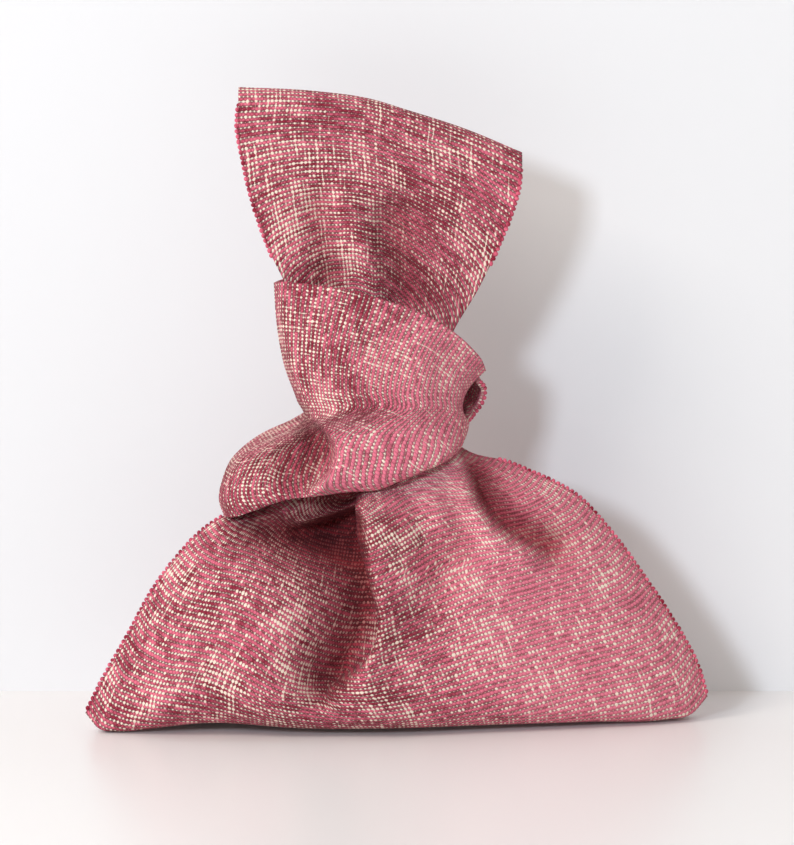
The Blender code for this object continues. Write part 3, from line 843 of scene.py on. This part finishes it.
def lay_threads(tree, place):
    """How near each point of the flat cloth is to its threads, their tones, and what chance adds.

    Nearness is 0 on the middle line of a warp thread or of a groove, and 0.5 half way to the next.
    """
    node = partial(add_node, tree)
    x, y, _ = node("SeparateXYZ", (place,), out=ALL_THREE)
    drift = clouds(tree, place, DRIFT)
    quiver = clouds(tree, place, QUIVER)
    column = weighed(tree, (1 / (COLUMN_PITCH * MM), *COLUMN_WANDER), (x, drift[0], quiver[0]))
    row = weighed(tree, (1 / (ROW_PITCH * MM), *ROW_WANDER), (y, drift[1], quiver[1]))
    between = node("Math", (row, 0.5), operation="ADD")
    warp_number, groove_number, row_number = [
        node("Math", (line,), operation="FLOOR") for line in (column, row, between)
    ]
    nearness = []
    for line in (column, row):
        share = node("Math", (line,), operation="FRACT")
        from_middle = node("Math", (share, 0.5), operation="SUBTRACT")
        nearness.append(node("Math", (from_middle,), operation="ABSOLUTE"))
    slow = [
        node("Math", (line, change), operation="MULTIPLY")
        for line, change in zip((column, column, row), TONE_CHANGE)
    ]
    tones = (
        thread_tone(tree, slow[0], groove_number, TONE_APART[0]),
        thread_tone(tree, slow[1], row_number, TONE_APART[1]),
        thread_tone(tree, warp_number, slow[2], TONE_APART[2]),
    )
    chance = chances(tree, warp_number, groove_number, CHANCE_APART)
    lump = chances(tree, warp_number, row_number, LUMP_APART)
    return nearness, tones, chance, lump


def lay_cream(tree, nearness, tones, chance, patches, painted_sheen, pearls):
    """Cream pearls in the grooves at every warp thread, and the cream links between them.

    Returns how rich in cream a crossing is, how far outside its pearl a point lies, the links, and
    where cream shows.
    """
    node = partial(add_node, tree)
    off_column, off_groove = nearness
    groove_tone, _, column_tone = tones
    rich = weighed(tree, RICH, (groove_tone, column_tone, patches[0], chance[0], painted_sheen))
    square = node("Math", (off_groove, off_groove), operation="MULTIPLY")
    square = node("Math", (square, PEARL_FLAT), operation="MULTIPLY")
    square = node("Math", (off_column, off_column, square), operation="MULTIPLY_ADD")
    away = node("Math", (square,), operation="SQRT")
    full = node("MapRange", (rich, *PEARL_GROWS), **SMOOTH)
    radius = node("Math", (full, PEARL_GROWTH * pearls, PEARL_LEAST * pearls), operation="MULTIPLY_ADD")
    outside = node("Math", (away, radius), operation="SUBTRACT")
    pearl = node("MapRange", (outside, *PEARL_EDGE), **SMOOTH)

    run_on = node("MapRange", (weighed(tree, RUN, (groove_tone, patches[0], chance[1])), *RUN_SPAN), **SMOOTH)
    run_on = node("Math", (run_on, *RUN_SHOWS), operation="MULTIPLY_ADD")
    in_groove = node("MapRange", (off_groove, *RUN_EDGE), **SMOOTH)
    along = node("Math", (in_groove, run_on), operation="MULTIPLY")
    over = node("MapRange", (weighed(tree, OVER, (column_tone, patches[0], chance[2])), *OVER_SPAN), **SMOOTH)
    on_column = node("MapRange", (off_column, *OVER_EDGE), **SMOOTH)
    over = node("Math", (on_column, over), operation="MULTIPLY")
    links = node("Math", (along, over), operation="MAXIMUM")
    links = node("Math", (links, LINK), operation="MULTIPLY")
    cream = node("Math", (pearl, links), operation="MAXIMUM", use_clamp=True)
    return rich, outside, links, cream


def colour_cloth(tree, nearness, tones, chance, lump, patches, pile, painted_sheen, rich, cream):
    """Chenille from crimson to rose, paler under a painted sheen, with painted shade in the grooves between
    its rows and in deep folds, and the cream over both.
    """
    node = partial(add_node, tree)
    off_column, off_groove = nearness
    groove = node("MapRange", (off_groove, *GROOVE_EDGE), **SMOOTH)
    notch = node("MapRange", (off_column, *NOTCH_EDGE), **SMOOTH)
    tone = weighed(tree, YARN, (tones[1], patches[1], pile[0], lump[0], painted_sheen))
    rosy = node("MapRange", (tone, *YARN_SPAN), **SMOOTH)
    yarn = node("Mix", {0: rosy, 6: linear(CRIMSON), 7: linear(ROSE)}, **TWO_COLOURS)
    tufts = node("MapRange", (pile[1], *LINT_SPAN), **SMOOTH)
    yarn = node("Mix", {0: weighed(tree, LINT, (tufts, painted_sheen)), 6: yarn, 7: linear(BLUSH)}, **TWO_COLOURS)

    # Painted shade: the yarn is darkened in the grooves between rows and at the notches, less under the
    # painted sheen; where a groove is rich in cream the ground cloth shows there instead
    shade_under_sheen = node("Math", (painted_sheen, SHEEN_LIGHTENS_SHADE, 1.0), operation="MULTIPLY_ADD")
    depth = node("Math", (weighed(tree, GROOVE_SHADE_BY, (groove, notch)), shade_under_sheen), operation="MULTIPLY")
    uneven = node("Math", (lump[1], *LUMPS), operation="MULTIPLY_ADD")
    depth = node("Math", (depth, uneven), operation="MULTIPLY", use_clamp=True)
    ground = node("MapRange", (rich, *GROUND_SPAN), **SMOOTH)
    below = node("Mix", {0: ground, 6: linear(PAINTED_GROOVE_SHADE), 7: linear(GROUND)}, **TWO_COLOURS)
    cloth = node("Mix", {0: depth, 6: yarn, 7: below}, **TWO_COLOURS)

    clean = node("MapRange", (weighed(tree, TINT, (rich, chance[1])), *TINT_SPAN), **SMOOTH)
    cotton = node("Mix", {0: clean, 6: linear(CREAM_SHADE), 7: linear(CREAM)}, **TWO_COLOURS)
    cloth = node("Mix", {0: cream, 6: cloth, 7: cotton}, **TWO_COLOURS)
    # Painted shade: the whole colour is darkened where the point lies deep in a fold
    hollow = node("Attribute", out="Fac", attribute_name="hollow")
    fold_shade_blend = {0: hollow, 6: cloth, 7: linear(PAINTED_FOLD_SHADE)}
    return notch, node("Mix", fold_shade_blend, blend_type="MULTIPLY", **TWO_COLOURS)


def raise_cloth(tree, off_groove, outside, links, pile, notch):
    """Relief: round thick rows with pearls standing between them, and a short pile over all."""
    node = partial(add_node, tree)
    row = node("MapRange", (off_groove, *ROW_RISE), **SMOOTH)
    row = node("Math", (row, ROW_HEIGHT), operation="MULTIPLY")
    pearl = node("MapRange", (outside, *PEARL_RISE), **SMOOTH)
    pearl = node("Math", (pearl, PEARL_HEIGHT), operation="MULTIPLY")
    link = node("Math", (links, LINK), operation="MULTIPLY")
    standing = node("Math", (pearl, link), operation="MAXIMUM")
    standing = node("Math", (row, standing), operation="MAXIMUM")
    height = weighed(tree, HEIGHT, (standing, pile, notch))
    return node("Bump", {"Strength": 1.0, "Distance": RELIEF * MM, "Height": height})


def woven_cloth(name, shift, painted_sheen_span, pearls):
    """Heavy furnishing cloth woven from thick crimson chenille and thin cream cotton.

    The chenille lies in thick soft rows. The cream threads show as small pearls in the groove
    between two rows, which is painted dark as painted shade, and here and there run on over the rows
    or along the groove. Shift gives each sheet its own stretch of the cloth. The argument after shift
    gives the axis of the flat cloth, and the places on it in millimetres, between which the pile is
    painted paler as a painted sheen. Pearls scales the cream, which shows less where the cloth is pulled
    tight.
    """
    skin, tree, shader = new_material(name, PILE_FINISH)
    chart = add_node(tree, "UVMap", uv_map="cloth")
    place = add_node(tree, "VectorMath", (chart, shift), operation="ADD")
    nearness, tones, chance, lump = lay_threads(tree, place)
    patches = clouds(tree, place, PATCHES)
    pile = clouds(tree, place, PILE, PILE_DETAIL)

    # Painted sheen: between two places across the flat cloth, with a wandering edge, the pile is painted
    # paler and rosier, with lighter grooves
    axis, plain_at, painted_sheen_at = painted_sheen_span
    across = add_node(tree, "SeparateXYZ", (chart,), out=axis)
    across = add_node(tree, "Math", (patches[2], PAINTED_SHEEN_EDGE * MM, across), operation="MULTIPLY_ADD")
    ends = [(at_place + PAINTED_SHEEN_EDGE / 2) * MM for at_place in (plain_at, painted_sheen_at)]
    painted_sheen = add_node(tree, "MapRange", (across, *ends), **SMOOTH)

    rich, outside, links, cream = lay_cream(tree, nearness, tones, chance, patches, painted_sheen, pearls)
    notch, colour = colour_cloth(tree, nearness, tones, chance, lump, patches, pile, painted_sheen, rich, cream)
    relief = raise_cloth(tree, nearness[1], outside, links, pile[2], notch)
    tree.links.new(colour, shader.inputs["Base Color"])
    tree.links.new(relief, shader.inputs["Normal"])
    return skin


# Loose yarn, in millimetres; its lint too is drawn coarser than it is
YARN_LUMP = 3.846        # size of its slow unevenness
YARN_LINT = 0.4545       # size of its lint
LINT_SHARE = 0.5         # how much the lint adds to its tone
LINT_DEPTH = 0.3         # relief of the lint
LINT_STRENGTH = 0.8      # how strongly that relief shows
LOOSE_SPAN = (0.55, 0.98)   # tone over which it turns from crimson to rose


def loose_yarn(name):
    """The same chenille where it turns back at the side of the cloth, with no cream in it."""
    skin, tree, shader = new_material(name, PILE_FINISH)
    node = partial(add_node, tree)
    place = node("TexCoord", out="Object")
    lumps = node("TexNoise", {"Vector": place, "Scale": 1 / (YARN_LUMP * MM), "Detail": 1.0})
    lint = node("TexNoise", {"Vector": place, "Scale": 1 / (YARN_LINT * MM), "Detail": 1.0})
    tone = node("Math", (lint, LINT_SHARE, lumps), operation="MULTIPLY_ADD")
    rosy = node("MapRange", (tone, *LOOSE_SPAN), **SMOOTH)
    colour = node("Mix", {0: rosy, 6: linear(CRIMSON), 7: linear(ROSE)}, **TWO_COLOURS)
    relief = node("Bump", {"Strength": LINT_STRENGTH, "Distance": LINT_DEPTH * MM, "Height": lint})
    tree.links.new(colour, shader.inputs["Base Color"])
    tree.links.new(relief, shader.inputs["Normal"])
    return skin


# ---- Pieces ----
# Shift of each sheet's cloth in metres, where its pile is painted paler as painted sheen, and how full its
# pearls stand
POUCH_CLOTH = ((0.0, 0.0, 0.0), (0, 0.0, 70.0), 1.0)
BAND_CLOTH = ((0.41, 0.23, 0.1), (1, 62.0, 22.0), 0.86)
FAN_CLOTH = ((0.87, 0.57, 0.2), (0, 60.0, 120.0), 0.88)

pouch_skin = woven_cloth("chenille_cloth_pouch", *POUCH_CLOTH)
band_skin = woven_cloth("chenille_cloth_band", *BAND_CLOTH)
fan_skin = woven_cloth("chenille_cloth_fan", *FAN_CLOTH)
yarn_skin = loose_yarn("chenille_yarn_ends")

front = add_grid("front", (POUCH_COLUMNS, FRONT_ROWS), pouch_front, pouch_weave,
                 seam_at=FOLD_COLUMN, folds=POUCH_FOLDS + POUCH_CREASES, deepest=POUCH_DEEPEST)
back = add_grid("back", (POUCH_COLUMNS, BACK_ROWS), pouch_back, pouch_weave, flip=True, seam_at=FOLD_COLUMN)
sole = add_grid("sole", (POUCH_COLUMNS, SOLE_ROWS), pouch_sole, sole_weave)
pouch = sewn("pouch_cloth", [front, back, sole], pouch_skin)

front = add_grid("front", BAND_GRID, band_front, band_weave,
                 folds=BAND_FOLDS + BAND_CREASES, deepest=BAND_DEEPEST)
back = add_grid("back", BAND_GRID, band_back, band_weave, flip=True)
band = sewn("band_cloth", [front, back], band_skin)

strip = add_grid("strip", FAN_GRID, fan_strip, fan_weave, folds=FAN_FOLDS + FAN_CREASES, deepest=FAN_DEEPEST)
fan = sewn("fan_cloth", [strip], fan_skin)


def yarn_ends(name, lines, material):
    """Small round loops of the thick yarn, one for each row, along the sides of a sheet."""
    rng = np.random.default_rng(YARN_SEED)
    deselect()
    bpy.ops.mesh.primitive_uv_sphere_add(segments=8, ring_count=6, radius=1.0)
    loop = bpy.context.object
    loop.name = name
    ends = []
    for line in lines:
        steps = np.linalg.norm(np.diff(line, axis=0), axis=1)
        run = np.concatenate([[0.0], np.cumsum(steps)])
        for place in np.arange(ROW_PITCH, run[-1] - ROW_PITCH, ROW_PITCH):
            spot = [np.interp(place, run, line[:, axis]) for axis in range(3)]
            end = loop.copy()
            end.data = loop.data.copy()
            bpy.context.scene.collection.objects.link(end)
            end.location = np.array(spot) * MM
            end.scale = np.array(YARN_END) * MM * rng.uniform(*YARN_UNEVEN, 3)
            ends.append(end)
    bpy.data.objects.remove(loop)
    piece = joined(name, ends, material)
    bpy.ops.object.transform_apply(location=True, rotation=True, scale=True)
    bpy.ops.object.shade_smooth()
    return piece


def side_line(place, across, low=0.0, high=1.0):
    """Places along one side of a sheet, between two shares of the way up."""
    up = np.linspace(low, high, LINE_PLACES)
    return place(np.full_like(up, across), up)


pouch_lines = [side_line(pouch_front, side, 0.0, top) for side, top in zip((0.0, 1.0), POUCH_ENDS_TOP)]
pouch_ends = yarn_ends("pouch_yarn_ends", pouch_lines, yarn_skin)

half_strip = (1 - FAN_TURN) / 2
fan_spans = ((FAN_BARE, half_strip), (1 - half_strip, 1 - FAN_BARE))
fan_lines = [side_line(fan_strip, side, low, high) for side in (0.0, 1.0) for low, high in fan_spans]
fan_ends = yarn_ends("fan_yarn_ends", fan_lines, yarn_skin)

lip_ends = yarn_ends("band_yarn_ends", [side_line(band_back, 1.0, *LIP_SHARES)], yarn_skin)

for piece, node, slot in (
    (pouch, "pouch", "pouch_cloth"),
    (band, "short_handle", "band_cloth"),
    (fan, "long_handle", "fan_cloth"),
):
    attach(piece, "root")
    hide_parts(node)
for piece in (pouch_ends, lip_ends, fan_ends):
    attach(piece, "root")


# ---- Stage: a pale shelf and the wall close behind it, in metres ----
SHELF_SIZE = 8.0
SHELF_DROP = 0.0005     # how far the shelf lies below the sole, so that they don't touch
WALL_SIZE = 6.0
WALL_PLACE = 0.073      # how far behind the bag's middle the wall stands
WALL_MIDDLE = 2.9       # height of its middle
# Colour, roughness and glow of each paint, and the gloss of both
PAINT_GLOSS = 0.3
# Satin paint on a shelf reflects a soft haze of what stands on it
SHELF_PAINT = ("#EEECEA", 0.30, 0.02)
# Matt paint on plaster: flat and pale, with a share of light of its own that keeps its shadows pale
WALL_PAINT = ("#CDCDCD", 0.9, 0.24)


def painted(name, paint):
    """A plain paint of one colour, roughness and glow."""
    code, roughness, glow = paint
    return new_material(name, {
        "Base Color": linear(code),
        "Roughness": roughness,
        "Specular IOR Level": PAINT_GLOSS,
        "Emission Color": linear(code),
        "Emission Strength": glow,
    })


deselect()
bpy.ops.mesh.primitive_plane_add(size=SHELF_SIZE, location=(0.0, 0.0, -SHELF_DROP))
floor = bpy.context.object
floor.name = "floor"
floor.data.materials.append(painted("painted_shelf", SHELF_PAINT)[0])

# The wall is clear from behind, so that the bag's back can be looked at
deselect()
upright = (math.pi / 2, 0.0, 0.0)
bpy.ops.mesh.primitive_plane_add(size=WALL_SIZE, location=(0.0, WALL_PLACE, WALL_MIDDLE), rotation=upright)
wall = bpy.context.object
wall.name = "wall"
plaster, tree, shader = painted("painted_wall", WALL_PAINT)
behind = add_node(tree, "NewGeometry", out="Backfacing")
clear = add_node(tree, "BsdfTransparent")
seen = add_node(tree, "MixShader", (behind, shader.outputs[0], clear))
tree.links.new(seen, tree.nodes["Material Output"].inputs["Surface"])
wall.data.materials.append(plaster)

# Lights: name, place and size in metres, power in watts, colour
LIGHTS = [
    ("front_lamp", (-1.0, -2.75, 0.95), 0.38, 52.0, "#E6F1FF"),   # casts the crisp shadow
    ("window", (-1.75, -1.65, 1.95), 1.2, 45.0, "#FFF6EE"),       # wide and soft, from the left
]
LIGHTS_AIM = (0.0, 0.0, 0.12)
ROOM = ("#FFF8F2", 0.41)        # colour and strength of the light that the room gives back
CAMERA_PLACE = (0.0, -2.3846, 0.4017)
CAMERA_AIM = (0.0, 0.0, 0.1202)
CAMERA_LENS = 255.6
CAMERA_REACH = 30.0


def turn_to(item, aim):
    """Turns a light or the camera to look at a place."""
    item.rotation_euler = (Vector(aim) - Vector(item.location)).to_track_quat("-Z", "Y").to_euler()


for name, place, size, power, colour in LIGHTS:
    glow = bpy.data.lights.new(name, "AREA")
    glow.size = size
    glow.energy = power
    glow.color = linear(colour)[:3]
    lamp = bpy.data.objects.new(name, glow)
    bpy.context.scene.collection.objects.link(lamp)
    lamp.location = place
    turn_to(lamp, LIGHTS_AIM)

room = bpy.data.worlds.new("room_light")
bpy.context.scene.world = room
room.use_nodes = True
room_shader = room.node_tree.nodes["Background"]
room_shader.inputs["Color"].default_value = linear(ROOM[0])
room_shader.inputs["Strength"].default_value = ROOM[1]

# Camera: a little above the bag, looking slightly down
lens = bpy.data.cameras.new("camera")
camera = bpy.data.objects.new("camera", lens)
bpy.context.scene.collection.objects.link(camera)
camera.location = CAMERA_PLACE
turn_to(camera, CAMERA_AIM)
lens.lens = CAMERA_LENS
lens.clip_end = CAMERA_REACH
bpy.context.scene.camera = camera
bpy.context.scene.view_settings.view_transform = "Standard"
